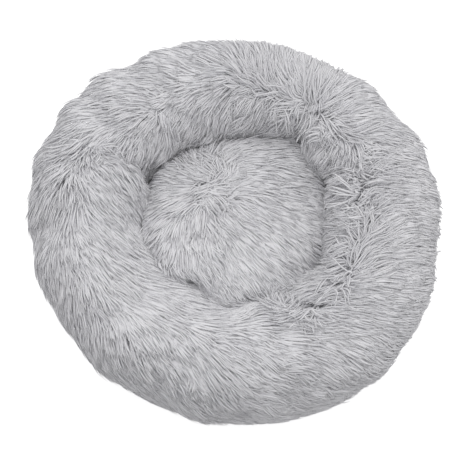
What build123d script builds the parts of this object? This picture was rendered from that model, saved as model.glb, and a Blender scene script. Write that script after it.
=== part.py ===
"""Round plush pet bed: a stuffed ring around a stuffed centre cushion, sewn to a non-slip base cloth.

Every section is drawn in the plane through the bed's axis, with the radius across and the height up.
The plush covers are drawn with their pile, so their outer faces are the surface that a hand meets.
"""

from math import cos, radians, sin
import os

from build123d import *

os.makedirs("parts", exist_ok=True)

# Driving dimensions, in millimetres and degrees
BED_DIAMETER = 600
BED_HEIGHT = 176
CENTRE_HEIGHT = 130
RIM_WIDTH = 164
PLUSH = 8
CLOTH = 1
DOT_HEIGHT = 1.5
CLEARANCE = 0.3

# The ring's section: an upper half ellipse above its widest height, and two quarters below it
WAIST_Z = 86
RIM_RADIUS = BED_DIAMETER / 2 - RIM_WIDTH / 2
CREASE_RADIUS = RIM_RADIUS - RIM_WIDTH / 2
OUTER_TUCK = 34
INNER_TUCK = 16
TUCK_DEPTH = 95
CENTRE_GAP = 0.4

# The centre cushion's section: a dome on a rounded shoulder
DOME_RISE = 28
SHOULDER_RADIUS = 18

# Heights of the layers at the foot of the bed
BASE_Z = DOT_HEIGHT
FOOT_Z = BASE_Z + CLOTH + CLEARANCE
BASE_RADIUS = BED_DIAMETER / 2 - 19

# Where the ring's two strips meet, and the arc that is closed by hand after stuffing
LEFT_SEAM_ANGLE = 158
RIGHT_SEAM_ANGLE = 33
SEAM_GAP_ANGLE = 0.7
CLOSING_START = 250
CLOSING_ARC = 34

# Thread and printed dots
THREAD = 0.8
OUTER_SEAM_RADIUS = BASE_RADIUS - 3
CENTRE_SEAM_RADIUS = 144
STITCH_LENGTH = 7
STITCH_SLANT = 35
CLOSING_COUNT = 18
DOT_RADIUS = 4
DOT_PITCH = 60
DOT_RINGS = 4


def seam_plane(angle):
    """The upright plane through the bed's axis at this angle, with its height along +Z."""
    turn = radians(angle)
    return Plane(origin=(0, 0, 0), x_dir=(cos(turn), sin(turn), 0), z_dir=(sin(turn), -cos(turn), 0))


def rim_section(inset):
    """Section of the ring, set in from the pile by inset and cut flat at its foot."""
    half_width = RIM_WIDTH / 2
    rise = BED_HEIGHT - WAIST_Z - inset
    inner_centre = (CREASE_RADIUS + INNER_TUCK, WAIST_Z)
    outer_centre = (BED_DIAMETER / 2 - OUTER_TUCK, WAIST_Z)
    with BuildSketch() as section:
        with BuildLine():
            EllipticalCenterArc((RIM_RADIUS, WAIST_Z), half_width - inset, rise, 0, arc_size=180)
            inner = EllipticalCenterArc(inner_centre, INNER_TUCK - inset, TUCK_DEPTH, 180, arc_size=90)
            outer = EllipticalCenterArc(outer_centre, OUTER_TUCK - inset, TUCK_DEPTH, 270, arc_size=90)
            Line(inner @ 1, outer @ 0)
        make_face()
        with Locations((RIM_RADIUS, FOOT_Z)):
            Rectangle(BED_DIAMETER, BED_DIAMETER, align=(Align.CENTER, Align.MIN), mode=Mode.INTERSECT)
    return section.sketch


def centre_section(inset):
    """Half section of the centre cushion: a low dome over a side that lies against the ring's inner wall."""
    radius = CREASE_RADIUS - CENTRE_GAP - inset
    crown = (0, CENTRE_HEIGHT - inset)
    shoulder = (radius, CENTRE_HEIGHT - DOME_RISE - inset)
    dome_radius = (radius**2 + DOME_RISE**2) / (2 * DOME_RISE)
    side_width = INNER_TUCK + CENTRE_GAP + inset
    side_centre = (CREASE_RADIUS + INNER_TUCK, WAIST_Z)
    with BuildSketch() as section:
        with BuildLine():
            side = EllipticalCenterArc(side_centre, side_width, TUCK_DEPTH, 180, arc_size=90)
            RadiusArc(crown, shoulder, dome_radius)
            Line(shoulder, side @ 0)
            Polyline(side @ 1, (0, WAIST_Z - TUCK_DEPTH), crown)
        make_face()
        fillet(section.vertices().sort_by_distance(shoulder)[0], SHOULDER_RADIUS - inset)
        with Locations((0, FOOT_Z)):
            Rectangle(BED_DIAMETER, BED_DIAMETER, align=(Align.MIN, Align.MIN), mode=Mode.INTERSECT)
    return section.sketch


def write(piece, name):
    """Labels a finished piece and writes it under its name."""
    piece.part.label = name
    export_step(piece.part, f"parts/{name}.step")


# The ring's plush: two strips, each turned from one cross seam to the other
rim_strips = {
    "rim_cover_back": (RIGHT_SEAM_ANGLE, LEFT_SEAM_ANGLE),
    "rim_cover_front": (LEFT_SEAM_ANGLE, RIGHT_SEAM_ANGLE + 360),
}
for strip_name, (strip_start, strip_end) in rim_strips.items():
    with BuildPart() as rim_cover:
        with BuildSketch(seam_plane(strip_start + SEAM_GAP_ANGLE / 2)):
            add(rim_section(0))
            add(rim_section(PLUSH), mode=Mode.SUBTRACT)
        revolve(axis=Axis.Z, revolution_arc=strip_end - strip_start - SEAM_GAP_ANGLE)
    write(rim_cover, strip_name)

# The ring's stuffing
with BuildPart() as rim_fill:
    with BuildSketch(Plane.XZ):
        add(rim_section(PLUSH + CLEARANCE))
    revolve(axis=Axis.Z)
write(rim_fill, "rim_fill")

# The centre cushion's plush
with BuildPart() as centre_cover:
    with BuildSketch(Plane.XZ):
        add(centre_section(0))
        add(centre_section(PLUSH), mode=Mode.SUBTRACT)
    revolve(axis=Axis.Z)
write(centre_cover, "centre_cover")

# The centre cushion's stuffing
with BuildPart() as centre_fill:
    with BuildSketch(Plane.XZ):
        add(centre_section(PLUSH + CLEARANCE))
    revolve(axis=Axis.Z)
write(centre_fill, "centre_fill")

# The base cloth
with BuildPart() as base_cloth:
    with BuildSketch(Plane.XY.offset(BASE_Z)):
        Circle(BASE_RADIUS)
    extrude(amount=CLOTH)
write(base_cloth, "base_cloth")

# The dots printed on the base cloth: one in the middle, and rings of six more each time around it
with BuildPart() as grip_dots:
    with BuildSketch():
        Circle(DOT_RADIUS)
        for ring in range(1, DOT_RINGS + 1):
            with PolarLocations(ring * DOT_PITCH, 6 * ring):
                Circle(DOT_RADIUS)
    extrude(amount=DOT_HEIGHT)
    chamfer(grip_dots.edges().group_by(Axis.Z)[0], DOT_HEIGHT / 3)
write(grip_dots, "grip_dots")

# The two seams under the base cloth: the outer one stops where the bed is closed by hand
base_seams = {
    "outer_seam_thread": (OUTER_SEAM_RADIUS, 360 - CLOSING_ARC),
    "centre_seam_thread": (CENTRE_SEAM_RADIUS, 360),
}
for seam_name, (seam_radius, seam_arc) in base_seams.items():
    with BuildPart() as base_seam:
        with BuildSketch(seam_plane(CLOSING_START + CLOSING_ARC)):
            with Locations((seam_radius, BASE_Z - THREAD / 2)):
                Circle(THREAD / 2)
        revolve(axis=Axis.Z, revolution_arc=seam_arc)
    write(base_seam, seam_name)

# The hand stitches that close the stuffing gap, slanted across the outer seam's line
with BuildPart() as closing_stitches:
    with BuildSketch(Plane.XY.offset(BASE_Z - THREAD)):
        first_stitch = CLOSING_START + CLOSING_ARC / CLOSING_COUNT / 2
        with PolarLocations(OUTER_SEAM_RADIUS, CLOSING_COUNT, first_stitch, CLOSING_ARC):
            SlotOverall(STITCH_LENGTH, THREAD, rotation=STITCH_SLANT)
    extrude(amount=THREAD)
write(closing_stitches, "closing_stitches")

# The cross seams that join the two strips, in the gaps between them and halfway through the plush
cross_seams = {
    "left_cross_seam_thread": LEFT_SEAM_ANGLE,
    "right_cross_seam_thread": RIGHT_SEAM_ANGLE,
}
for cross_name, cross_angle in cross_seams.items():
    with BuildPart() as cross_seam:
        with BuildSketch(seam_plane(cross_angle)):
            add(rim_section(PLUSH / 2 - THREAD / 2))
            add(rim_section(PLUSH / 2 + THREAD / 2), mode=Mode.SUBTRACT)
        extrude(amount=THREAD / 2, both=True)
    write(cross_seam, cross_name)
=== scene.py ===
"""The looks of a round plush pet bed: a stuffed ring around a stuffed centre, both in long combed pile.

Lengths are in metres and azimuths in degrees, counter-clockwise from +X as seen from above. The bed's front
faces -Y. Each surface is a grid over its section (from the axis side to the outside) and its azimuth.
"""

import math

import bmesh
import bpy
import numpy as np
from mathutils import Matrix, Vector, kdtree


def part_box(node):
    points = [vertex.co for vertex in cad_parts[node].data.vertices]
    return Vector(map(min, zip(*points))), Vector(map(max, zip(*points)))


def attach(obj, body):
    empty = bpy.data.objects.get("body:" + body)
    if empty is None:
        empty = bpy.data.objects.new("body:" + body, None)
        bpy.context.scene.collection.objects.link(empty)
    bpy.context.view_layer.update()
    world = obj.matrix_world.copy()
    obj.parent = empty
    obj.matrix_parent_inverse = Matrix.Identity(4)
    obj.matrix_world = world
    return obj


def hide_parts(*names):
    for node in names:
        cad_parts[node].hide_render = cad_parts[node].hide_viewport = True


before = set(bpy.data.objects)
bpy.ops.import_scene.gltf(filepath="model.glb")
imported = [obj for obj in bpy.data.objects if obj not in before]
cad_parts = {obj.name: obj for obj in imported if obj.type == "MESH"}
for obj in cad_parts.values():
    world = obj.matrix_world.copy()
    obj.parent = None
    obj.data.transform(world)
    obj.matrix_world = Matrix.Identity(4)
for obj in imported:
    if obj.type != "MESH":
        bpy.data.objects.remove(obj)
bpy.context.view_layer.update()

scene = bpy.context.scene
MM = 0.001


# ==== Sizes from the frame ====


def node_points(*names):
    """Every vertex of these CAD nodes, as an array of points."""
    clouds = []
    for name in names:
        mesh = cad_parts[name].data
        flat = np.zeros(len(mesh.vertices) * 3)
        mesh.vertices.foreach_get("co", flat)
        clouds.append(flat.reshape(-1, 3))
    return np.concatenate(clouds)


rim_cloud = node_points("rim_cover_back", "rim_cover_front")
rim_radii = np.hypot(rim_cloud[:, 0], rim_cloud[:, 1])
BED_RADIUS = rim_radii.max()
CREASE_RADIUS = rim_radii.min()
BED_HEIGHT = rim_cloud[:, 2].max()
FOOT_Z = rim_cloud[:, 2].min()
WAIST_Z = rim_cloud[rim_radii.argmax(), 2]
CENTRE_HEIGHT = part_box("centre_cover")[1].z

RIM_RADIUS = (BED_RADIUS + CREASE_RADIUS) / 2
RIM_WIDTH = BED_RADIUS - CREASE_RADIUS
OUTER_TUCK = 34 * MM
INNER_TUCK = 16 * MM
TUCK_DEPTH = 95 * MM
DOME_RISE = 28 * MM
# The angle at which the arcs of the sides reach the foot, in degrees
TUCK_ANGLE = math.degrees(math.asin((WAIST_Z - FOOT_Z) / TUCK_DEPTH))

# The centre falls with this power of its radius, as far as DOME_EDGE, and then turns down at a soft corner.
# The corner's points are shares of the radius, and heights over the shoulder as shares of the dome's rise
DOME_POWER = 2.6
DOME_EDGE = 0.93
CORNER_RADII = (0.965, 0.99, 1.0)
CORNER_RISES = (0.02, -0.22, -0.45)
CORNER_GAP = 6 * MM

# How the cloth lies under the pile
CLOTH_DEPTH = 12 * MM
CLOTH_THICKNESS = 1.6 * MM
CREASE_DEPTH = 3 * MM

# Points nearer the axis than these are the crown's, and are joined into one
AXIS_REACH = 1 * MM
CROWN_REACH = 0.1 * MM

RIM_AROUND = 720
RIM_ACROSS = 100
CENTRE_AROUND = 360
CENTRE_ACROSS = 70


# ==== Curves and fields ====


def arc(centre, radii, start, end, count=90):
    """Points of an upright elliptical arc in (radius, height), from start to end in degrees."""
    turn = np.radians(np.linspace(start, end, count))
    return np.stack([centre[0] + radii[0] * np.cos(turn), centre[1] + radii[1] * np.sin(turn)], 1)


def evenly(points, count):
    """The same path with this many points, evenly spaced along it."""
    steps = np.hypot(*np.diff(points, axis=0).T)
    along = np.concatenate([[0], np.cumsum(steps)])
    wanted = np.linspace(0, along[-1], count)
    return np.stack([np.interp(wanted, along, points[:, k]) for k in range(2)], 1)


def rim_outline(inset):
    """The ring's section, from its inner foot over the crown to its outer foot."""
    rise = BED_HEIGHT - WAIST_Z
    foot = (CREASE_RADIUS + INNER_TUCK, WAIST_Z)
    inner = arc(foot, (INNER_TUCK - inset, TUCK_DEPTH), 180 + TUCK_ANGLE, 180)
    upper = arc((RIM_RADIUS, WAIST_Z), (RIM_WIDTH / 2 - inset, rise - inset), 180, 0, 240)
    outer = arc((BED_RADIUS - OUTER_TUCK, WAIST_Z), (OUTER_TUCK - inset, TUCK_DEPTH), 0, -TUCK_ANGLE)
    return evenly(np.concatenate([inner, upper[1:-1], outer]), RIM_ACROSS)


def centre_outline(inset):
    """The centre cushion's half section, from the crown on the axis to its foot."""
    radius = CREASE_RADIUS - CREASE_DEPTH
    shoulder_z = CENTRE_HEIGHT - DOME_RISE
    share = np.linspace(0, 1, 200)
    dome = np.stack([radius * share, CENTRE_HEIGHT - inset - DOME_RISE * share**DOME_POWER], 1)
    foot = (CREASE_RADIUS + INNER_TUCK, WAIST_Z)
    side = arc(foot, (INNER_TUCK + CREASE_DEPTH, TUCK_DEPTH), 180, 180 + TUCK_ANGLE)
    corner = np.stack([radius * np.array(CORNER_RADII),
                       shoulder_z - inset + DOME_RISE * np.array(CORNER_RISES)], 1)
    dome = dome[dome[:, 0] < radius * DOME_EDGE]
    side = side[side[:, 1] < WAIST_Z - CORNER_GAP]
    return evenly(np.concatenate([dome, corner, side]), CENTRE_ACROSS)


def around(azimuth, stations, blur):
    """A smooth periodic value at each azimuth, from values at listed stations {azimuth: value}."""
    fine = np.arange(0, 360, 1.0)
    keys = sorted(stations)
    value = np.interp(fine, keys, [stations[k] for k in keys], period=360)
    away = np.minimum(fine, 360 - fine)
    kernel = np.exp(-((away / blur) ** 2))
    smooth = np.real(np.fft.ifft(np.fft.fft(value) * np.fft.fft(kernel / kernel.sum())))
    return np.interp(azimuth, fine, smooth, period=360)


def smoothstep(low, high, value):
    share = np.clip((value - low) / (high - low), 0, 1)
    return share * share * (3 - 2 * share)


def waves(seed, count, longest, shortest):
    """A smooth random field, as a function of position: a sum of plane waves, about -1 to 1."""
    draw = np.random.default_rng(seed)
    length = np.exp(draw.uniform(np.log(shortest), np.log(longest), count))
    turn = draw.uniform(0, 2 * np.pi, count)
    tilt = draw.uniform(-0.7, 0.7, count)
    wave = np.stack([np.cos(turn), np.sin(turn), tilt], 1) * (2 * np.pi / length)[:, None]
    phase = draw.uniform(0, 2 * np.pi, count)
    return lambda points: np.sin(points @ wave.T + phase).sum(-1) / np.sqrt(count / 2)


def polar(azimuth, radius):
    """Plan position of an azimuth and radius."""
    turn = np.radians(azimuth)
    return np.stack([radius * np.cos(turn), radius * np.sin(turn)], -1)


def kink_distance(points, start, end):
    """Distance in plan from each point to a kink's straight line, and the share along it, 0 to 1. The line's
    ends are (azimuth, radius in millimetres)."""
    start, end = (polar(turn, radius * MM) for turn, radius in (start, end))
    way = end - start
    share = np.clip(((points - start) @ way) / (way @ way), 0, 1)
    nearest = start + share[..., None] * way
    return np.hypot(*np.moveaxis(points - nearest, -1, 0)), share


# ==== The shape of the ring and the centre, under the pile ====

# How far the crease stands outside its plain circle, in millimetres at each azimuth
CREASE_SHIFT = {
    15: 4, 35: 12, 56: 32, 75: 12, 95: 4, 117: 4, 140: 10, 158: 6, 185: -1, 210: -8, 235: -17, 258: -14,
    285: 0, 315: 0, 345: -2,
}
# How far the cloth is pressed back at the crease: tight and deep at the back, soft and shallow in front
CREASE_DEPTHS = {
    0: 5, 20: 6, 40: 7, 60: 6, 80: 10, 100: 12, 140: 12, 165: 10, 190: 4, 230: 3, 280: 3, 310: 4, 340: 4,
}
# How far the bed's outer edge stands outside its plain circle
EDGE_SHIFT = {
    0: 7, 12: 6, 25: 13, 38: 11, 55: -7, 75: -4, 100: -4, 118: 16, 132: 10, 148: 25, 170: 14, 195: 0,
    215: -5, 240: -8, 265: -5, 290: 4, 315: 15, 335: 12,
}
# How far round the values between stations are blurred, in degrees: the crease turns more sharply
EDGE_BLUR = 14.0
CREASE_BLUR = 9
# The soft kinks in the ring: from (azimuth, radius) to (azimuth, radius), depth, half width, in millimetres
KINKS = [
    ((149, 140), (158, 232), 15, 16),
    ((58, 158), (53, 196), 7, 14),
    ((29, 145), (16, 205), 10, 16),
    ((336, 130), (329, 205), 9, 20),
    ((288, 170), (286, 240), 8, 18),
    ((126, 150), (126, 186), 7, 12),
    ((76, 160), (75, 196), 6, 12),
]
# How far the centre's edge stands above its plain dome, in millimetres at each azimuth
CENTRE_LIFT = {0: 4, 45: -3, 90: -2, 135: 0, 160: 4, 190: 18, 215: 27, 250: 27, 280: 18, 315: 10}

# Between which shares of the ring's section each of these comes in, counted from the inner foot
FROM_INNER_SIDE = (0.22, 0.5)
TO_OUTER_SIDE = (0.5, 0.75)
CROWN_START = (0.12, 0.25)
CROWN_END = (0.86, 0.96)
FROM_CREASE = (0.17, 0.34)
# How much of a kink's depth is lost at its outer end
KINK_FADE = 0.65
# The cloth's own unevenness: seed, number of waves, longest and shortest wave, and height in millimetres
RIM_LUMPS = (3, 9, 0.22, 0.07)
RIM_LUMP_HEIGHT = 2.6
CENTRE_LUMPS = (8, 8, 0.2, 0.09)
CENTRE_LUMP_HEIGHT = 2.2
# Between which shares of the crease's radius the centre takes the crease's shape, goes flat and lifts
TO_CREASE = (0.1, 0.95)
CENTRE_EDGE = (0.85, 1.0)
CENTRE_RISING = (0.35, 0.95)
# Between which heights the centre's edge begins to lift
LIFT_HEIGHTS = (WAIST_Z - 20 * MM, WAIST_Z + 6 * MM)

azimuths = np.linspace(0, 360, RIM_AROUND, endpoint=False)
rim_shares = np.linspace(0, 1, RIM_ACROSS)


def rim_surface(inset):
    """The ring's cloth as a grid of points [azimuth, share across the section]."""
    outline = rim_outline(inset)
    radius = np.repeat(outline[None, :, 0], RIM_AROUND, 0)
    height = np.repeat(outline[None, :, 1], RIM_AROUND, 0)
    inner = 1 - smoothstep(*FROM_INNER_SIDE, rim_shares)
    outer = smoothstep(*TO_OUTER_SIDE, rim_shares)
    radius = radius + around(azimuths, CREASE_SHIFT, CREASE_BLUR)[:, None] * MM * inner
    radius = radius + around(azimuths, EDGE_SHIFT, EDGE_BLUR)[:, None] * MM * outer
    turn = np.radians(azimuths)[:, None]
    points = np.stack([radius * np.cos(turn), radius * np.sin(turn), height], -1)
    normals = grid_normals(points)
    sink = np.zeros(radius.shape)
    for start, end, depth, width in KINKS:
        away, share = kink_distance(points[..., :2], start, end)
        fade = 1 - KINK_FADE * share
        sink = np.maximum(sink, depth * MM * fade * np.exp(-((away / (width * MM)) ** 2)))
    top = smoothstep(*CROWN_START, rim_shares) * (1 - smoothstep(*CROWN_END, rim_shares))
    lumps = waves(*RIM_LUMPS)(points) * RIM_LUMP_HEIGHT * MM
    crease_depth = around(azimuths, CREASE_DEPTHS, CREASE_BLUR)[:, None] * MM
    pressed = (inset - crease_depth) * (1 - smoothstep(*FROM_CREASE, rim_shares))
    return points + normals * ((lumps - sink) * top + pressed)[..., None]


def grid_normals(points):
    """Outward unit normals of a grid whose first index runs all round the axis."""
    along = np.gradient(points, axis=1)
    across = np.roll(points, -1, 0) - np.roll(points, 1, 0)
    normal = np.cross(along, across)
    return normal / np.maximum(np.linalg.norm(normal, axis=-1, keepdims=True), 1e-12)


centre_azimuths = np.linspace(0, 360, CENTRE_AROUND, endpoint=False)


def centre_surface(inset):
    """The centre cushion's cloth as a grid of points [azimuth, share from the crown to the foot]."""
    outline = centre_outline(inset)
    radius = np.repeat(outline[None, :, 0], CENTRE_AROUND, 0)
    height = np.repeat(outline[None, :, 1], CENTRE_AROUND, 0)
    shift = around(centre_azimuths, CREASE_SHIFT, CREASE_BLUR)[:, None] * MM
    shift = shift + CREASE_DEPTH - around(centre_azimuths, CREASE_DEPTHS, CREASE_BLUR)[:, None] * MM
    radius = radius + shift * smoothstep(*TO_CREASE, radius / CREASE_RADIUS)
    turn = np.radians(centre_azimuths)[:, None]
    points = np.stack([radius * np.cos(turn), radius * np.sin(turn), height], -1)
    outwards = np.hypot(points[..., 0], points[..., 1]) / CREASE_RADIUS
    top = 1 - smoothstep(*CENTRE_EDGE, outwards)
    points[..., 2] += waves(*CENTRE_LUMPS)(points) * CENTRE_LUMP_HEIGHT * MM * top
    rise = smoothstep(*CENTRE_RISING, outwards)
    lifted = smoothstep(*LIFT_HEIGHTS, points[..., 2])
    points[..., 2] += around(centre_azimuths, CENTRE_LIFT, EDGE_BLUR)[:, None] * MM * rise * lifted
    return points


def pick(grid, rows, columns):
    """Values of a grid at fractional rows (which wrap) and columns."""
    row = np.floor(rows).astype(int)
    column = np.minimum(np.floor(columns).astype(int), grid.shape[1] - 2)
    across, along = (rows - row)[:, None], (columns - column)[:, None]
    row, following = row % grid.shape[0], (row + 1) % grid.shape[0]
    near = grid[row, column] * (1 - along) + grid[row, column + 1] * along
    far = grid[following, column] * (1 - along) + grid[following, column + 1] * along
    return near * (1 - across) + far * across


# ==== Mesh building ====


def make_object(name, vertices, faces, material):
    """A smooth mesh object from vertices and a list of face arrays, each of one size."""
    mesh = bpy.data.meshes.new(name)
    loops = np.concatenate([f.reshape(-1) for f in faces]).astype(np.int32)
    sizes = np.concatenate([np.full(len(f), f.shape[1]) for f in faces])
    starts = np.concatenate([[0], np.cumsum(sizes)[:-1]]).astype(np.int32)
    mesh.vertices.add(len(vertices))
    mesh.vertices.foreach_set("co", np.ascontiguousarray(vertices, np.float32).reshape(-1))
    mesh.loops.add(len(loops))
    mesh.loops.foreach_set("vertex_index", loops)
    mesh.polygons.add(len(sizes))
    mesh.polygons.foreach_set("loop_start", starts)
    mesh.update(calc_edges=True)
    mesh.shade_smooth()
    mesh.materials.append(material)
    obj = bpy.data.objects.new(name, mesh)
    scene.collection.objects.link(obj)
    return obj


def grid_faces(rows, columns, closed, offset=0, flip=False):
    """Quads of a grid of rows round the axis and columns across, as vertex indices."""
    row = np.arange(rows if closed else rows - 1)[:, None]
    column = np.arange(columns - 1)[None, :]
    following = (row + 1) % rows
    corners = [row * columns + column, following * columns + column,
               following * columns + column + 1, row * columns + column + 1]
    quads = np.stack(corners, -1).reshape(-1, 4) + offset
    return quads[:, ::-1] if flip else quads


def join_crown(obj):
    """Joins the points that a grid has on the axis, at its crown, into one."""
    mesh = bmesh.new()
    mesh.from_mesh(obj.data)
    crown = [v for v in mesh.verts if math.hypot(v.co.x, v.co.y) < CROWN_REACH]
    bmesh.ops.remove_doubles(mesh, verts=crown, dist=CROWN_REACH)
    mesh.to_mesh(obj.data)
    mesh.free()


def shell(name, outside, inside, closed, material):
    """A closed sheet of cloth between two grids of the same size."""
    rows, columns = outside.shape[:2]
    count = rows * columns
    vertices = np.concatenate([outside.reshape(-1, 3), inside.reshape(-1, 3)])
    faces = [grid_faces(rows, columns, closed), grid_faces(rows, columns, closed, count, True)]
    row = np.arange(rows if closed else rows - 1)
    following = (row + 1) % rows
    at_axis = np.hypot(*outside[:, 0, :2].T).max() < AXIS_REACH
    for column, flip in ((0, False), (columns - 1, True))[at_axis:]:
        rim = np.stack([row * columns + column, row * columns + column + count,
                        following * columns + column + count, following * columns + column], -1)
        faces.append(rim[:, ::-1] if flip else rim)
    if not closed:
        column = np.arange(columns - 1)
        for row_index, flip in ((0, True), (rows - 1, False)):
            start = row_index * columns
            end = np.stack([start + column, start + column + count,
                            start + column + 1 + count, start + column + 1], -1)
            faces.append(end[:, ::-1] if flip else end)
    obj = make_object(name, vertices, [face[:, ::-1] for face in faces], material)
    if at_axis:
        join_crown(obj)
    return obj


def solid_of_turning(name, outside, material):
    """A closed body from a grid that runs all round the axis, with a flat foot."""
    rows, columns = outside.shape[:2]
    row = np.arange(rows)
    following = (row + 1) % rows
    faces = [grid_faces(rows, columns, True)]
    vertices = outside.reshape(-1, 3)
    at_axis = np.hypot(*outside[:, 0, :2].T).max() < AXIS_REACH
    if at_axis:
        faces.append((row * columns + columns - 1)[None])
    else:
        faces.append(np.stack([row * columns, row * columns + columns - 1,
                               following * columns + columns - 1, following * columns], -1))
    obj = make_object(name, vertices, [face[:, ::-1] for face in faces], material)
    if at_axis:
        join_crown(obj)
    return obj


# ==== Materials ====


def principled(name, colour, roughness, sheen=0.0):
    """A new material, its node tree and its shader, with the settings that are the same all over."""
    material = bpy.data.materials.new(name)
    material.use_nodes = True
    tree = material.node_tree
    shader = tree.nodes["Principled BSDF"]
    shader.inputs["Base Color"].default_value = (*colour, 1)
    shader.inputs["Roughness"].default_value = roughness
    shader.inputs["Sheen Weight"].default_value = sheen
    shader.inputs["Sheen Roughness"].default_value = 0.5
    shader.inputs["Specular IOR Level"].default_value = 0.3
    return material, tree, shader


def ramp(tree, source, stops):
    """A colour ramp fed by source, with stops of (position, colour)."""
    node = tree.nodes.new("ShaderNodeValToRGB")
    elements = node.color_ramp.elements
    while len(elements) < len(stops):
        elements.new(0.5)
    for element, (position, colour) in zip(elements, stops):
        element.position = position
        element.color = (*colour, 1)
    tree.links.new(source, node.inputs["Fac"])
    return node.outputs["Color"]


def multiply(tree, first, second):
    node = tree.nodes.new("ShaderNodeMix")
    node.data_type = "RGBA"
    node.blend_type = "MULTIPLY"
    node.inputs["Factor"].default_value = 1.0
    tree.links.new(first, node.inputs["A"])
    tree.links.new(second, node.inputs["B"])
    return node.outputs["Result"]


PILE_GREY = np.array([0.885, 0.88, 0.908])


def pile_material():
    """Plush locks: each has its own tone, and painted shade darkens it towards its root. The UV is (tone,
    root to tip).
    """
    material, tree, shader = principled("plush_pile", PILE_GREY, 0.95, sheen=0.3)
    shader.inputs["Specular IOR Level"].default_value = 0.12
    uv = tree.nodes.new("ShaderNodeUVMap")
    uv.uv_map = "OFBake"
    split = tree.nodes.new("ShaderNodeSeparateXYZ")
    tree.links.new(uv.outputs["UV"], split.inputs["Vector"])
    tone = ramp(tree, split.outputs["X"], [
        (0.0, tuple(PILE_GREY * (0.93, 0.93, 0.94))),
        (0.35, tuple(PILE_GREY * (0.98, 0.98, 0.985))),
        (0.65, tuple(PILE_GREY * (1.02, 1.02, 1.02))),
        (1.0, tuple(PILE_GREY * (1.07, 1.065, 1.055))),
    ])
    # Painted shade: each lock's colour darkens towards its root, where the locks shade each other
    depth = ramp(tree, split.outputs["Y"], [
        (0.0, (0.95, 0.95, 0.952)), (0.4, (0.98, 0.98, 0.98)), (1.0, (1.0, 1.0, 1.0)),
    ])
    tree.links.new(multiply(tree, tone, depth), shader.inputs["Base Color"])
    return material


def noise_value(tree, place, scale, detail):
    """A fine random value at each place."""
    noise = tree.nodes.new("ShaderNodeTexNoise")
    noise.inputs["Scale"].default_value = scale
    noise.inputs["Detail"].default_value = detail
    tree.links.new(place.outputs["Object"], noise.inputs["Vector"])
    return noise.outputs["Fac"]


def add_relief(tree, shader, height, strength, depth):
    bump = tree.nodes.new("ShaderNodeBump")
    bump.inputs["Strength"].default_value = strength
    bump.inputs["Distance"].default_value = depth
    tree.links.new(height, bump.inputs["Height"])
    tree.links.new(bump.outputs["Normal"], shader.inputs["Normal"])


def shades(colour, darker, lighter):
    """A darker and a lighter shade of a colour, by these factors."""
    return tuple(np.array(colour) * darker), tuple(np.minimum(np.array(colour) * lighter, 1))


def cloth_material(name, colour, scale, depth, contrast):
    """Woven or knitted cloth: two crossed sets of threads, with a little unevenness between them."""
    material, tree, shader = principled(name, colour, 0.85, sheen=0.2)
    place = tree.nodes.new("ShaderNodeTexCoord")
    threads = []
    for direction in ("X", "Y"):
        wave = tree.nodes.new("ShaderNodeTexWave")
        wave.wave_type = "BANDS"
        wave.bands_direction = direction
        wave.inputs["Scale"].default_value = scale
        wave.inputs["Distortion"].default_value = 1.2
        wave.inputs["Detail Scale"].default_value = 2.0
        tree.links.new(place.outputs["Object"], wave.inputs["Vector"])
        threads.append(wave.outputs["Fac"])
    weave = tree.nodes.new("ShaderNodeMath")
    weave.operation = "MULTIPLY"
    tree.links.new(threads[0], weave.inputs[0])
    tree.links.new(threads[1], weave.inputs[1])
    noise = noise_value(tree, place, 45.0, 6.0)
    dark, light = shades(colour, 1 - contrast, 1 + contrast)
    woven = ramp(tree, weave.outputs["Value"], [(0.0, dark), (0.8, light)])
    patches = ramp(tree, noise, [(0.3, (0.86, 0.86, 0.87)), (0.7, (1.0, 1.0, 1.0))])
    tree.links.new(multiply(tree, woven, patches), shader.inputs["Base Color"])
    add_relief(tree, shader, weave.outputs["Value"], 0.6, depth)
    return material


def fibre_material(name, colour, roughness, scale):
    """Loose fibre, thread or rubber: fine random grain in colour and relief."""
    material, tree, shader = principled(name, colour, roughness)
    noise = noise_value(tree, tree.nodes.new("ShaderNodeTexCoord"), scale, 8.0)
    dark, light = shades(colour, 0.78, 1.12)
    tree.links.new(ramp(tree, noise, [(0.3, dark), (0.7, light)]), shader.inputs["Base Color"])
    add_relief(tree, shader, noise, 0.4, 0.4 * MM)
    return material


PILE = pile_material()
BACKING = cloth_material("knitted_backing", (0.36, 0.36, 0.38), scale=420, depth=0.4 * MM, contrast=0.22)
STUFFING = fibre_material("polyester_fibre", (0.86, 0.86, 0.85), roughness=0.9, scale=160)
BASE = cloth_material("base_weave", (0.30, 0.305, 0.33), scale=560, depth=0.3 * MM, contrast=0.3)
RUBBER = fibre_material("grip_rubber", (0.12, 0.125, 0.14), roughness=0.55, scale=300)
THREAD = fibre_material("sewing_thread", (0.45, 0.45, 0.48), roughness=0.6, scale=900)


# ==== Cloth and stuffing ====

ROOT = "root"
FILL_GAP = 1.0 * MM
# The left and the right cross seam
SEAM_AZIMUTHS = (158, 33)
# The centre's cloth lies a little less deep under its pile than the ring's
CENTRE_CLOTH_DEPTH = CLOTH_DEPTH * 0.9

# The simulation that swells the ring's cloth between its seams
PRESSURE = 4.0
PRESSURE_FRAMES = 20
# Every so many rows and columns of the ring's grid are in the simulated copy
ROW_STEP = 5
COLUMN_STEP = 3
# The cloth is sewn down at its foot, and along this share of its seams, from the crease
SEWN_COLUMNS = 2
SEAM_REACH = 0.55
# The swelling is measured from this percentile of it, softly capped, and smoothed this many times
SWELL_LEVEL = 35
SWELL_CAP = 4 * MM
SWELL_SMOOTHING = 4


def dress(piece, slot, *nodes):
    """Rides a piece on the bed's one body, and hides the CAD nodes it stands for. Its slot, naming what it
    is made of, is not used.
    """
    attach(piece, ROOT)
    if nodes:
        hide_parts(*nodes)


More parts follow.
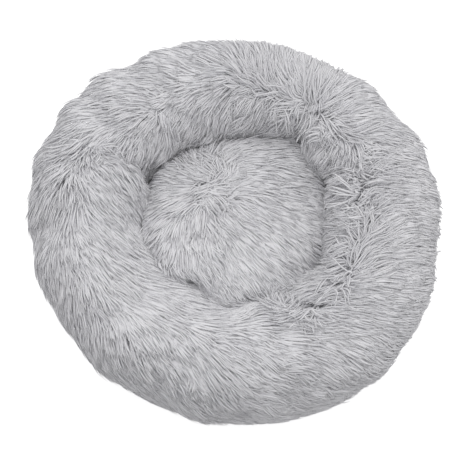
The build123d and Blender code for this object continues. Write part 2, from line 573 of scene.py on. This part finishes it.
def stuffed(grid, seam_rows):
    """The grid after its stuffing has pressed on it: a cloth simulation on a coarser copy, sewn down at its
    foot and its seams. Only the uneven part of the swelling is kept, so the whole stays the same size."""
    rows = np.arange(0, grid.shape[0], ROW_STEP)
    columns = np.unique(np.append(np.arange(0, grid.shape[1], COLUMN_STEP), grid.shape[1] - 1))
    coarse = grid[np.ix_(rows, columns)]
    normals = grid_normals(coarse)
    count = len(columns)
    row = np.arange(len(rows))
    following = (row + 1) % len(rows)
    foot = np.stack([row * count, row * count + count - 1,
                     following * count + count - 1, following * count], -1)
    faces = [grid_faces(len(rows), count, True, flip=True), foot[:, ::-1]]
    body = make_object("stuffed_body", coarse.reshape(-1, 3), faces, BACKING)
    sewn = np.zeros((len(rows), count), bool)
    sewn[:, :SEWN_COLUMNS] = sewn[:, -SEWN_COLUMNS:] = True
    for seam_row in seam_rows:
        sewn[round(seam_row / ROW_STEP) % len(rows), :round(SEAM_REACH * count)] = True
    body.vertex_groups.new(name="sewn").add(np.flatnonzero(sewn).tolist(), 1.0, "REPLACE")
    cloth = body.modifiers.new("stuffing", "CLOTH")
    cloth.settings.vertex_group_mass = "sewn"
    cloth.settings.use_pressure = True
    cloth.settings.uniform_pressure_force = PRESSURE
    cloth.settings.effector_weights.gravity = 0
    for step in range(1, PRESSURE_FRAMES + 1):
        scene.frame_set(step)
    solved = body.evaluated_get(bpy.context.evaluated_depsgraph_get()).to_mesh()
    flat = np.zeros(coarse.size)
    solved.vertices.foreach_get("co", flat)
    swelling = ((flat.reshape(coarse.shape) - coarse) * normals).sum(-1)
    scene.frame_set(1)
    bpy.data.objects.remove(body)

    uneven = SWELL_CAP * np.tanh((swelling - np.percentile(swelling, SWELL_LEVEL)) / (2 * SWELL_CAP))
    uneven[:, :SEWN_COLUMNS] = uneven[:, -SEWN_COLUMNS:] = 0
    for _ in range(SWELL_SMOOTHING):
        uneven = (np.roll(uneven, 1, 0) + 2 * uneven + np.roll(uneven, -1, 0)) / 4
        uneven[:, 1:-1] = (uneven[:, :-2] + 2 * uneven[:, 1:-1] + uneven[:, 2:]) / 4
    plain = np.zeros(grid.shape[:2])
    fine_rows = np.arange(grid.shape[0])[:, None] / ROW_STEP + plain
    fine_columns = np.interp(np.arange(grid.shape[1]), columns, np.arange(count))[None] + plain
    spread = pick(uneven[..., None], fine_rows.ravel(), fine_columns.ravel()).reshape(grid.shape[:2])
    return grid + grid_normals(grid) * spread[..., None]


left_row, right_row = (round(a * RIM_AROUND / 360) for a in SEAM_AZIMUTHS)
rim_cloth = stuffed(rim_surface(CLOTH_DEPTH), (left_row, right_row))
rim_normals = grid_normals(rim_cloth)
rim_inside = rim_cloth - rim_normals * CLOTH_THICKNESS
rim_inside[..., 2] = np.maximum(rim_inside[..., 2], FOOT_Z)

back_rows = np.arange(right_row, left_row + 1)
front_rows = np.arange(left_row, right_row + RIM_AROUND + 1) % RIM_AROUND
for name, rows, node in (("rim_cloth_back", back_rows, "rim_cover_back"),
                         ("rim_cloth_front", front_rows, "rim_cover_front")):
    cover = shell(name, rim_cloth[rows], rim_inside[rows], False, BACKING)
    dress(cover, "plush", node)

rim_stuffing = solid_of_turning("rim_stuffing", rim_inside - rim_normals * FILL_GAP, STUFFING)
dress(rim_stuffing, "stuffing", "rim_fill")

centre_cloth = centre_surface(CENTRE_CLOTH_DEPTH)
centre_normals = grid_normals(centre_cloth)
centre_normals[:, 0] = (0, 0, 1)
centre_cloth[:, 0] = centre_cloth[:, 0].mean(0)
centre_inside = centre_cloth - centre_normals * CLOTH_THICKNESS
centre_inside[..., 2] = np.maximum(centre_inside[..., 2], FOOT_Z)
centre_cover = shell("centre_cloth", centre_cloth, centre_inside, True, BACKING)
dress(centre_cover, "plush", "centre_cover")
centre_stuffing = solid_of_turning("centre_stuffing", centre_inside - centre_normals * FILL_GAP, STUFFING)
dress(centre_stuffing, "stuffing", "centre_fill")


# ==== The pile ====

# Which way the ring's pile is brushed in plan, at each azimuth: on its inner slope, crown and outer slope
RIM_BRUSHING = {
    0: (184, 0, 356), 15: (190, 0, 356), 30: (215, 350, 2), 45: (245, 28, 8),
    60: (235, 85, 60), 75: (228, 88, 88), 90: (246, 165, 130), 105: (246, 172, 165),
    120: (255, 180, 180), 135: (258, 192, 188), 150: (268, 230, 198), 165: (338, 312, 216),
    180: (308, 304, 252), 195: (328, 318, 282), 210: (338, 312, 278), 225: (330, 320, 290),
    240: (338, 306, 300), 255: (350, 316, 302), 270: (352, 326, 345), 285: (10, 338, 350),
    300: (206, 350, 328), 315: (232, 356, 350), 330: (200, 6, 2), 345: (190, 22, 6),
}
# The shares of the section at which each of the three is pure
RIM_BANDS = (0.35, 0.49, 0.66)
# Where the ring's pile parts in a star: azimuth, radius, reach in millimetres, and strength
RIM_STARS = [
    (158, 236, 26, 0.5), (126, 184, 18, 0.35), (90, 210, 18, 0.3), (75, 190, 14, 0.25), (54, 192, 30, 0.5),
    (329, 196, 24, 0.2), (286, 243, 18, 0.2),
]
# Which way the centre's pile is brushed in plan, at each polar angle about its own star
CENTRE_BRUSHING = {
    0: 340, 25: 346, 55: 352, 75: 12, 90: 48, 105: 95, 120: 142, 135: 180, 175: 192, 205: 228, 225: 256,
    250: 278, 270: 300, 290: 308, 315: 322, 335: 330,
}
CENTRE_STAR = (-30 * MM, 38 * MM)
# How far the pile near the star turns off its straight way out, in degrees, and how far out it does so
CENTRE_WHORL = 60
WHORL_REACH = 26 * MM
# Within this distance of a star the pile stands up
RIM_STAR_EYE = 4 * MM
CENTRE_STAR_EYE = 9 * MM
# How flat the centre's pile lies, at least, and how flat it lies at its star
CENTRE_LEAST_LIE = 0.7
CENTRE_STAR_LIE = 0.6
# How ruffled the pile is, 0 to 1, at each azimuth: on the ring's inner slope, low on its outer slope, and at
# its edge where the outline is ragged
INNER_RUFFLES = {
    0: 1, 40: 1, 60: 0.9, 90: 1, 120: 0.8, 150: 0.4, 180: 0.1, 210: 0, 290: 0, 320: 0.5, 340: 0.9,
}
OUTER_RUFFLES = {0: 0, 150: 0, 180: 0.4, 205: 0.8, 235: 1.0, 265: 0.9, 290: 0.3, 320: 0}
EDGE_RUFFLES = {0: 0.4, 60: 0.5, 100: 0.5, 140: 0.4, 160: 0, 310: 0, 335: 0.3}
# Between which shares of the section these start and end
INNER_RUFFLES_END = (0.42, 0.56)
OUTER_RUFFLES_START = (0.54, 0.60)
OUTER_RUFFLES_END = (0.66, 0.74)
EDGE_RUFFLES_START = (0.60, 0.68)
EDGE_RUFFLES_END = (0.84, 0.90)
# A kink of this depth in millimetres is fully ruffled, over this share of its half width
RUFFLED_KINK = 15
RUFFLED_WIDTH = 0.8
# How ruffled the centre is at its star, and how far round it
STAR_RUFFLE = 0.7
STAR_RUFFLE_REACH = 30 * MM

# The pile's two layers: a short dense undercoat, and long sparse locks that lie over it
# The undercoat's lower tone is painted shade, for the shade that the locks over it cast
UNDERCOAT = {"length": 31 * MM, "spacing": 3.1 * MM, "width": 2.8 * MM, "lift": 56, "tone": 0.44,
             "gather": 0.3, "shape": (0.85, 1.0, 0.9, 0.6)}
TOPCOAT = {"length": 43 * MM, "spacing": 3.8 * MM, "width": 3.1 * MM, "lift": 58, "tone": 0.55,
           "gather": 0.2, "shape": (0.7, 0.9, 1.0, 0.95, 0.8, 0.5)}
LOCK_TONES = 32
LOCK_THICKNESS = 0.3
DROOP = 0.45
# The pile keeps between these heights, and eases into the upper one
PILE_FOOT = 2 * MM
PILE_TOP = BED_HEIGHT + 13 * MM
PILE_EASE = 6 * MM
# Roots stand in lines this share of their spacing apart, and stray by these shares of it
LINE_SPACING = 0.9
ROOT_STRAYS = (0.42, 0.45)
# A root's depth in the cloth, and how high over the cloth the rest of the lock keeps
ROOT_DEPTH = 1.0 * MM
CLEARANCE = 3 * MM
# One lock in so many leads a tuft: the others follow the nearest leader
TUFT_SIZE = 9
# Slow changes of direction and of tone: number of waves, longest and shortest wave, and size
WIDE_DRIFT = (10, 0.11, 0.03)
WIDE_TURN = 7
CLOSE_DRIFT = (8, 0.03, 0.012)
CLOSE_TURN = 5
PATCHES = (8, 0.16, 0.04)
PATCH_TONE = 0.05
# How steeply locks stand, in degrees: their tips, and how much less where the pile is combed flat
TIP_RISE = 28
COMBED_ROOT_DROP = 26
COMBED_TIP_DROP = 30
RUFFLED_TIP_RISE = 5
# How much whole tufts and single locks differ, as standard deviations: in where they take their direction
# from, direction, length, rise at root and tip, waviness in millimetres, tone and twist
LOCK_STRAY = 3 * MM
TUFT_TURN, LOCK_TURN = 8, 6
TUFT_LENGTH = 0.10
TUFT_ROOT_RISE, LOCK_ROOT_RISE = 1.5, 4
TUFT_TIP_RISE, LOCK_TIP_RISE = 1, 2.5
TUFT_CURL, LOCK_CURL = 1.1, 0.4
TUFT_TONE, LOCK_TONE = 0.06, 0.07
LOCK_TWIST = 0.25
# How much longer or shorter a lock can be than its tuft, and its girth as shares of its coat's width
LENGTH_RANGE = 0.15
GIRTH_RANGE = (0.7, 1.25)
# What is added to these where the pile stands up or is ruffled
STANDING_TURN = 2
RUFFLED_TURN = 1.6
RUFFLED_ROOTS = 6
RUFFLED_TIPS = 7
RUFFLED_GATHER = 1.2
# How much a lock turns towards the combed direction and the cloth's own normal at each step
COMB_PULL = 0.2
NORMAL_PULL = 2
# How a lock waves and gathers: its wave's turn in radians and size, and the powers of the share along it
CURL_TURN = 5.5
CURL_SIZE = 1.6
CURL_POWER = 0.8
GATHER_POWER = 1.2
MOST_GATHERED = 0.8
# No root counts as nearer the axis than this when places are turned into azimuths
LEAST_RADIUS = 20 * MM


def units(degrees):
    turn = np.radians(degrees)
    return np.stack([np.cos(turn), np.sin(turn)], -1)


def around_units(azimuth, stations, column=None):
    """Plan unit vectors at each azimuth, blended between stations: shorter where neighbours disagree."""
    keys = sorted(stations)
    angles = [stations[k] if column is None else stations[k][column] for k in keys]
    vectors = units(np.array(angles, float))
    return np.stack([np.interp(azimuth, keys, vectors[:, k], period=360) for k in range(2)], -1)


def rim_flow(places, azimuth, share):
    """Plan direction of the ring's pile at each root. Its length falls to zero where the pile stands up."""
    inner, crown, outer = (around_units(azimuth, RIM_BRUSHING, band) for band in range(3))
    low = smoothstep(*RIM_BANDS[:2], share)[:, None]
    high = smoothstep(*RIM_BANDS[1:], share)[:, None]
    flow = inner * (1 - low) + crown * low * (1 - high) + outer * high
    for star_azimuth, star_radius, reach, strength in RIM_STARS:
        away = places[:, :2] - polar(star_azimuth, star_radius * MM)
        distance = np.hypot(*away.T)[:, None]
        weight = strength * np.exp(-((distance / (reach * MM)) ** 2))
        flow = flow * (1 - weight) + weight * away / np.maximum(distance, RIM_STAR_EYE)
    return flow


def centre_flow(places, azimuth, share):
    """Plan direction of the centre's pile at each root."""
    away = places[:, :2] - np.array(CENTRE_STAR)
    angle = np.degrees(np.arctan2(away[:, 1], away[:, 0])) % 360
    distance = np.hypot(*away.T)[:, None]
    flow = around_units(angle, CENTRE_BRUSHING)
    whorl = np.radians(CENTRE_WHORL) * np.exp(-((distance / WHORL_REACH) ** 2))
    flow = flow * np.cos(whorl) + flow[:, ::-1] * (-1, 1) * np.sin(whorl)
    lie = np.maximum(np.hypot(*flow.T)[:, None], CENTRE_LEAST_LIE)
    return unit(flow) * lie * np.minimum(1, CENTRE_STAR_LIE + distance / CENTRE_STAR_EYE)


def rim_ruffle(places, azimuth, share):
    """How ruffled the ring's pile is at each root, 0 to 1: on its slopes, its edge and along its kinks."""
    inner = around(azimuth, INNER_RUFFLES, EDGE_BLUR) * (1 - smoothstep(*INNER_RUFFLES_END, share))
    outer = around(azimuth, OUTER_RUFFLES, EDGE_BLUR) * smoothstep(*OUTER_RUFFLES_START, share)
    outer = outer * (1 - smoothstep(*OUTER_RUFFLES_END, share))
    edge = around(azimuth, EDGE_RUFFLES, EDGE_BLUR) * smoothstep(*EDGE_RUFFLES_START, share)
    edge = edge * (1 - smoothstep(*EDGE_RUFFLES_END, share))
    kinked = np.zeros(len(places))
    for start, end, depth, width in KINKS:
        away, _ = kink_distance(places[:, :2], start, end)
        near = np.exp(-((away / (RUFFLED_WIDTH * width * MM)) ** 2))
        kinked = np.maximum(kinked, depth / RUFFLED_KINK * near)
    return np.clip(inner + outer + edge + kinked, 0, 1)


def centre_ruffle(places, azimuth, share):
    """How ruffled the centre's pile is at each root: round its own star."""
    away = places[:, :2] - np.array(CENTRE_STAR)
    return STAR_RUFFLE * np.exp(-((np.hypot(*away.T) / STAR_RUFFLE_REACH) ** 2))


def scatter(grid, low, high, spacing, draw):
    """Roots spread evenly over a grid's surface between two shares: fractional rows and columns."""
    section = grid.mean(0)
    radius = np.hypot(grid[..., 0], grid[..., 1]).mean(0)
    height = section[:, 2]
    steps = np.hypot(np.diff(radius), np.diff(height))
    along = np.concatenate([[0], np.cumsum(steps)])
    start, stop = np.interp((low, high), np.linspace(0, 1, len(along)), along)
    sideways, lengthways = ROOT_STRAYS
    rows, columns = [], []
    for line, place in enumerate(np.arange(start, stop, spacing * LINE_SPACING)):
        column = np.interp(place, along, np.arange(len(along)))
        count = max(1, round(2 * np.pi * np.interp(place, along, radius) / spacing))
        stray = draw.uniform(-sideways, sideways, count)
        spread = (np.arange(count) + 0.5 * (line % 2) + stray) / count
        nudge = draw.uniform(-lengthways, lengthways, count) * spacing / along[-1] * (len(along) - 1)
        rows.append(spread * grid.shape[0])
        columns.append(np.clip(column + nudge, 0, len(along) - 1.001))
    return np.concatenate(rows), np.concatenate(columns)


def tree_of(points):
    tree = kdtree.KDTree(len(points))
    for index, point in enumerate(points):
        tree.insert(point, index)
    tree.balance()
    return tree


# The cloth that the pile can lie on: the ring above the crease, and the top of the centre
GROOVE_Z = CENTRE_HEIGHT - DOME_RISE - 6 * MM
GROOVE_DROP = 3


def groove_z(azimuth):
    """The height below which no pile lies on the cloth: lower where the crease is deeper."""
    deeper = around(azimuth, CREASE_DEPTHS, CREASE_BLUR) * MM - CREASE_DEPTH
    return (GROOVE_Z + around(azimuth, CENTRE_LIFT, EDGE_BLUR) * MM - GROOVE_DROP * deeper)[:, None]


rim_groove = groove_z(azimuths)
centre_groove = groove_z(centre_azimuths)
lies_on_rim = (rim_cloth[..., 2] > rim_groove) | (rim_shares[None] > 0.5)
lies_on_centre = centre_cloth[..., 2] > centre_groove
lie_points = np.concatenate([rim_cloth[lies_on_rim], centre_cloth[lies_on_centre]])
lie_normals = np.concatenate([rim_normals[lies_on_rim], centre_normals[lies_on_centre]])
lie_tree = tree_of(lie_points)


def unit(vectors):
    return vectors / np.maximum(np.linalg.norm(vectors, axis=-1, keepdims=True), 1e-9)


def along_cloth(vectors, normals):
    """Vectors turned into the plane of the cloth."""
    return vectors - normals * (vectors * normals).sum(-1, keepdims=True)


def grow(grid, normals, flow_at, ruffle_at, span, ragged, seed, coat):
    """Centre lines, widths and tones of all the locks of one coat on one surface."""
    draw = np.random.default_rng(seed)
    rows, columns = scatter(grid, *span, coat["spacing"], draw)
    count = len(rows)
    azimuth = rows / grid.shape[0] * 360
    share = columns / (grid.shape[1] - 1)
    root = pick(grid, rows, columns)
    up = unit(pick(normals, rows, columns))
    leader_index = np.flatnonzero(draw.random(count) < 1 / TUFT_SIZE)
    leader_tree = tree_of(root[leader_index])
    follows = leader_index[[leader_tree.find(point)[1] for point in root]]

    def by_lock(deviation):
        return draw.normal(0, deviation, count)

    def by_tuft(deviation):
        return draw.normal(0, deviation, count)[follows]

    # Each tuft takes its direction from a place near its own, so partings are ragged
    strays = draw.normal(0, ragged, (count, 3))[follows] + draw.normal(0, LOCK_STRAY, (count, 3))
    across = unit(pick(np.roll(grid, -1, 0) - grid, rows, columns))
    down = unit(pick(np.gradient(grid, axis=1), rows, columns))
    turned = np.degrees((strays * across).sum(1) / np.maximum(np.hypot(*root[:, :2].T), LEAST_RADIUS))
    moved = (strays * down).sum(1) / (np.linalg.norm(np.gradient(grid[0], axis=0), axis=1).sum())
    flow = flow_at(root + strays, (azimuth + turned) % 360, share + moved)
    lie = np.clip(np.hypot(*flow.T), 0, 1)
    combed = np.concatenate([flow, np.full((count, 1), -DROOP)], 1)
    heading = unit(along_cloth(combed, up))

    drift = waves(seed + 1, *WIDE_DRIFT)(root) * WIDE_TURN
    drift = drift + waves(seed + 2, *CLOSE_DRIFT)(root) * CLOSE_TURN
    ruffled = ruffle_at(root, azimuth, share)
    loose = 1 + STANDING_TURN * (1 - lie) + RUFFLED_TURN * ruffled
    turn = np.radians(drift + loose * (by_tuft(TUFT_TURN) + by_lock(LOCK_TURN)))[:, None]
    heading = heading * np.cos(turn) + np.cross(up, heading) * np.sin(turn)

    rings = len(coat["shape"])
    longer = 1 + TUFT_LENGTH * by_tuft(1) + draw.uniform(-LENGTH_RANGE, LENGTH_RANGE, count)
    step = coat["length"] * longer / rings
    root_rise = coat["lift"] - COMBED_ROOT_DROP * lie
    root_rise = root_rise + (TUFT_ROOT_RISE + RUFFLED_ROOTS * ruffled) * by_tuft(1) + by_lock(LOCK_ROOT_RISE)
    tip_rise = TIP_RISE - COMBED_TIP_DROP * lie + RUFFLED_TIP_RISE * ruffled
    tip_rise = tip_rise + (TUFT_TIP_RISE + RUFFLED_TIPS * ruffled) * by_tuft(1) + by_lock(LOCK_TIP_RISE)
    curl = by_tuft(TUFT_CURL) * MM + by_lock(LOCK_CURL * MM)
    phase = draw.uniform(0, 2 * np.pi, count)[follows]

    # Each lock is grown ring by ring, turning from its rise at the root to that at the tip along the cloth
    normal = up
    place = root - up * ROOT_DEPTH
    line, sides = [place], [np.cross(up, heading)]
    for ring in range(rings):
        grown = (ring + 0.5) / rings
        rise = np.radians(root_rise + (tip_rise - root_rise) * grown**0.5)[:, None]
        place = place + step[:, None] * (heading * np.cos(rise) + normal * np.sin(rise))
        nearest = np.array([lie_tree.find(point)[1] for point in place])
        normal = unit(normal + NORMAL_PULL * lie_normals[nearest])
        depth = ((lie_points[nearest] - place) * lie_normals[nearest]).sum(1) + CLEARANCE
        place = place + lie_normals[nearest] * np.maximum(depth, 0)[:, None]
        heading = unit(along_cloth(heading + COMB_PULL * combed, normal))
        line.append(place)
        sides.append(np.cross(normal, heading))
    line, sides = np.stack(line, 1), np.stack(sides, 1)
    stations = np.linspace(0, 1, rings + 1)
    swing = np.sin(stations[None] * CURL_TURN + phase[:, None]) * stations[None] ** CURL_POWER
    line += sides * (curl[:, None] * swing * CURL_SIZE)[..., None]
    gathered = np.minimum(coat["gather"] * (1 + RUFFLED_GATHER * ruffled), MOST_GATHERED)[:, None, None]
    line += (line[follows] - line) * gathered * stations[None, :, None] ** GATHER_POWER
    too_high = np.maximum(line[..., 2] - PILE_TOP + PILE_EASE, 0)
    line[..., 2] += PILE_EASE * np.tanh(too_high / PILE_EASE) - too_high
    line[..., 2] = np.maximum(line[..., 2], PILE_FOOT)

    girth = coat["width"] * draw.uniform(*GIRTH_RANGE, count)
    patch = waves(seed + 3, *PATCHES)(root) * PATCH_TONE
    # A coat's tone is partly painted shade: the undercoat's is set lower, as it lies under the locks
    tone = coat["tone"] + patch + LOCK_TONE * by_lock(1) + TUFT_TONE * by_tuft(1)
    tone = np.clip(tone, 0.01, 0.99)
    return {"line": line, "side": sides, "girth": girth, "tone": tone, "twist": by_lock(LOCK_TWIST),
            "shape": np.array(coat["shape"]), "azimuth": azimuth}


def lock_mesh(locks, chosen):
    """Vertices, quads, triangles and (tone, height) UVs of the chosen locks, which are closed, three-sided,
    tapering spikes."""
    line, shape = locks["line"][chosen], locks["shape"]
    count, rings = len(line), len(shape)
    tangent = unit(np.gradient(line, axis=1))
    side = unit(along_cloth(locks["side"][chosen], tangent))
    top = np.cross(tangent, side)
    twist = locks["twist"][chosen][:, None, None]
    turned_side = side * np.cos(twist) + top * np.sin(twist)
    turned_top = top * np.cos(twist) - side * np.sin(twist)
    width = (locks["girth"][chosen][:, None] * shape[None])[..., None]
    body, side, top = line[:, :rings], turned_side[:, :rings], turned_top[:, :rings]
    corners = np.stack([body - side * width / 2, body + side * width / 2,
                        body + top * width * LOCK_THICKNESS], 2)
    vertices = np.concatenate([corners.reshape(count, -1, 3), line[:, -1:]], 1)
    per_lock = vertices.shape[1]

    ring = np.arange(rings - 1)[:, None] * 3
    corner = np.arange(3)[None]
    following = (corner + 1) % 3
    quads = np.stack([ring + corner, ring + following, ring + 3 + following, ring + 3 + corner], -1)
    quads = quads.reshape(-1, 4)
    last = (rings - 1) * 3
    tips = np.stack([last + corner[0], last + following[0], np.full(3, per_lock - 1)], -1)
    triangles = np.concatenate([tips, [[2, 1, 0]]])
    offset = (np.arange(count) * per_lock)[:, None, None]

    column = np.floor(locks["tone"][chosen] * LOCK_TONES)
    across = np.tile([0.15, 0.5, 0.85], rings).tolist() + [0.5]
    height = np.repeat(np.arange(rings) / rings, 3).tolist() + [1.0]
    u = (column[:, None] + np.array(across)[None]) / LOCK_TONES
    v = np.repeat(0.01 + 0.98 * np.array(height)[None], count, 0)
    uv = np.stack([u, v], -1).reshape(-1, 2)
    quads = (quads[None] + offset).reshape(-1, 4)
    triangles = (triangles[None] + offset).reshape(-1, 3)
    return vertices.reshape(-1, 3), quads, triangles, uv


def weave(name, coats):
    """One piece of pile from (locks, chosen) pairs."""
    vertices, faces, undersides, uvs, used = [], [], [], [], 0
    for locks, chosen in coats:
        points, quads, triangles, uv = lock_mesh(locks, chosen)
        vertices.append(points)
        faces += [quads + used, triangles + used]
        undersides += [np.arange(len(quads)) % 3 == 0, np.isin(np.arange(len(triangles)) % 4, (0, 3))]
        uvs.append(uv)
        used += len(points)
    obj = make_object(name, np.concatenate(vertices), faces, PILE)
    layer = obj.data.uv_layers.new(name="OFBake")
    index = np.concatenate([f.reshape(-1) for f in faces])
    layer.data.foreach_set("uv", np.concatenate(uvs)[index].astype(np.float32).reshape(-1))
    # The underside of each lock is flat, so that its two upper sides are shaded softly into each other only
    flat = obj.data.attributes.new("sharp_face", "BOOLEAN", "FACE")
    flat.data.foreach_set("value", np.concatenate(undersides))
    dress(obj, "plush")


def weave_sectors(name, coats, count):
    """Cuts the coats into this many pieces of equal angle, and weaves each."""
    for sector in range(count):
        weave(f"{name}_{sector + 1:02d}",
              [(locks, (locks["azimuth"] // (360 / count)).astype(int) == sector) for locks in coats])


# Between which shares of its grid each surface bears pile, how ragged its partings are, how many pieces its
# pile is cut into, and the seeds of its two coats
RIM_SPAN = (0.15, 0.985)
RIM_RAGGED = 6 * MM
RIM_SECTORS = 16
RIM_SEEDS = (11, 21)
CENTRE_SPAN = (0.0, 0.86)
CENTRE_RAGGED = 13 * MM
CENTRE_SECTORS = 4
CENTRE_SEEDS = (12, 22)

rim_coats = [grow(rim_cloth, rim_normals, rim_flow, rim_ruffle, RIM_SPAN, RIM_RAGGED, seed, coat)
             for seed, coat in zip(RIM_SEEDS, (UNDERCOAT, TOPCOAT))]
weave_sectors("rim_pile", rim_coats, RIM_SECTORS)
centre_coats = [grow(centre_cloth, centre_normals, centre_flow, centre_ruffle, CENTRE_SPAN, CENTRE_RAGGED,
                     seed, coat) for seed, coat in zip(CENTRE_SEEDS, (UNDERCOAT, TOPCOAT))]
weave_sectors("centre_pile", centre_coats, CENTRE_SECTORS)


# ==== Base cloth, dots and threads keep their CAD shapes ====

THREADS = ("outer_seam_thread", "centre_seam_thread", "left_cross_seam_thread", "right_cross_seam_thread",
           "closing_stitches")
for name, material in (("base_cloth", BASE), ("grip_dots", RUBBER), *((name, THREAD) for name in THREADS)):
    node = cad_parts[name]
    node.data.materials.clear()
    node.data.materials.append(material)


# ==== Floor, light and camera ====


def area_light(name, azimuth, elevation, distance, size, power, colour):
    light = bpy.data.lights.new(name, "AREA")
    light.shape = "DISK"
    light.size = size
    light.energy = power
    light.color = colour
    lamp = bpy.data.objects.new(name, light)
    turn, lift = math.radians(azimuth), math.radians(elevation)
    way = Vector((math.cos(turn) * math.cos(lift), math.sin(turn) * math.cos(lift), math.sin(lift)))
    lamp.location = way * distance
    lamp.rotation_euler = (-way).to_track_quat("-Z", "Y").to_euler()
    scene.collection.objects.link(lamp)


# A pale round floor that turns up into a wall all round, well outside the cameras
FLOOR_RADIUS = 5.0
COVE_RADIUS = 2.0
WALL_TOP = 6.0
COVE_TURNS = 96
FLOOR_GLOW = 0.6
bend = arc((FLOOR_RADIUS, COVE_RADIUS), (COVE_RADIUS, COVE_RADIUS), -90, 0, 12)
profile = np.concatenate([[(0.001, 0)], bend, [(FLOOR_RADIUS + COVE_RADIUS, WALL_TOP)]])
cove_turn = units(np.linspace(0, 360, COVE_TURNS, endpoint=False))
cove = np.concatenate([cove_turn[:, None] * profile[None, :, :1],
                       np.repeat(profile[None, :, 1:], COVE_TURNS, 0)], -1)
floor_material, _, floor_shader = principled("pale_floor", (0.95, 0.95, 0.95), 0.9)
floor = make_object("floor", cove.reshape(-1, 3), [grid_faces(COVE_TURNS, len(profile), True, flip=True)],
                    floor_material)
floor_shader.inputs["Emission Color"].default_value = (1, 1, 1, 1)
floor_shader.inputs["Emission Strength"].default_value = FLOOR_GLOW
floor.visible_diffuse = False
floor.visible_shadow = False

world = bpy.data.worlds.new("studio")
scene.world = world
world.use_nodes = True
sky = world.node_tree
sky_place = sky.nodes.new("ShaderNodeTexCoord")
# The sky is brightest overhead, and brighter towards the back right than towards the front left
SKY_LEAN = (0.17, 0.42, 1.0)
SKY_LOW, SKY_HIGH = -0.36, 0.35
SKY_STRENGTH = 0.775
sky_height = sky.nodes.new("ShaderNodeVectorMath")
sky_height.operation = "DOT_PRODUCT"
sky_height.inputs[1].default_value = SKY_LEAN
sky.links.new(sky_place.outputs["Generated"], sky_height.inputs[0])
sky_level = sky.nodes.new("ShaderNodeMapRange")
sky_level.inputs["From Min"].default_value = SKY_LOW
sky_level.inputs["From Max"].default_value = SKY_HIGH
sky.links.new(sky_height.outputs["Value"], sky_level.inputs["Value"])
sky_light = ramp(sky, sky_level.outputs["Result"], [(0.0, (0.20, 0.20, 0.205)), (1.0, (1.0, 1.0, 1.0))])
sky.links.new(sky_light, sky.nodes["Background"].inputs["Color"])
sky.nodes["Background"].inputs["Strength"].default_value = SKY_STRENGTH
area_light("key", azimuth=55, elevation=62, distance=2.2, size=2.2, power=5, colour=(1.0, 0.99, 0.97))
area_light("fill", azimuth=250, elevation=62, distance=2.6, size=1.8, power=1.5, colour=(0.97, 0.98, 1.0))

CAMERA_ELEVATION = 68
CAMERA_DISTANCE = 2.2
CAMERA_LENS = 114.4
CAMERA_TARGET = Vector((-4.5 * MM, -11.9 * MM, 83 * MM))
camera_data = bpy.data.cameras.new("camera")
camera = bpy.data.objects.new("camera", camera_data)
scene.collection.objects.link(camera)
scene.camera = camera
camera_data.sensor_width = 36
camera_data.lens = CAMERA_LENS
lift = math.radians(CAMERA_ELEVATION)
back = Vector((0, -math.cos(lift), math.sin(lift)))
camera.location = CAMERA_TARGET + back * CAMERA_DISTANCE
camera.rotation_euler = (-back).to_track_quat("-Z", "Y").to_euler()

scene.view_settings.view_transform = "Standard"
scene.view_settings.gamma = 1.15
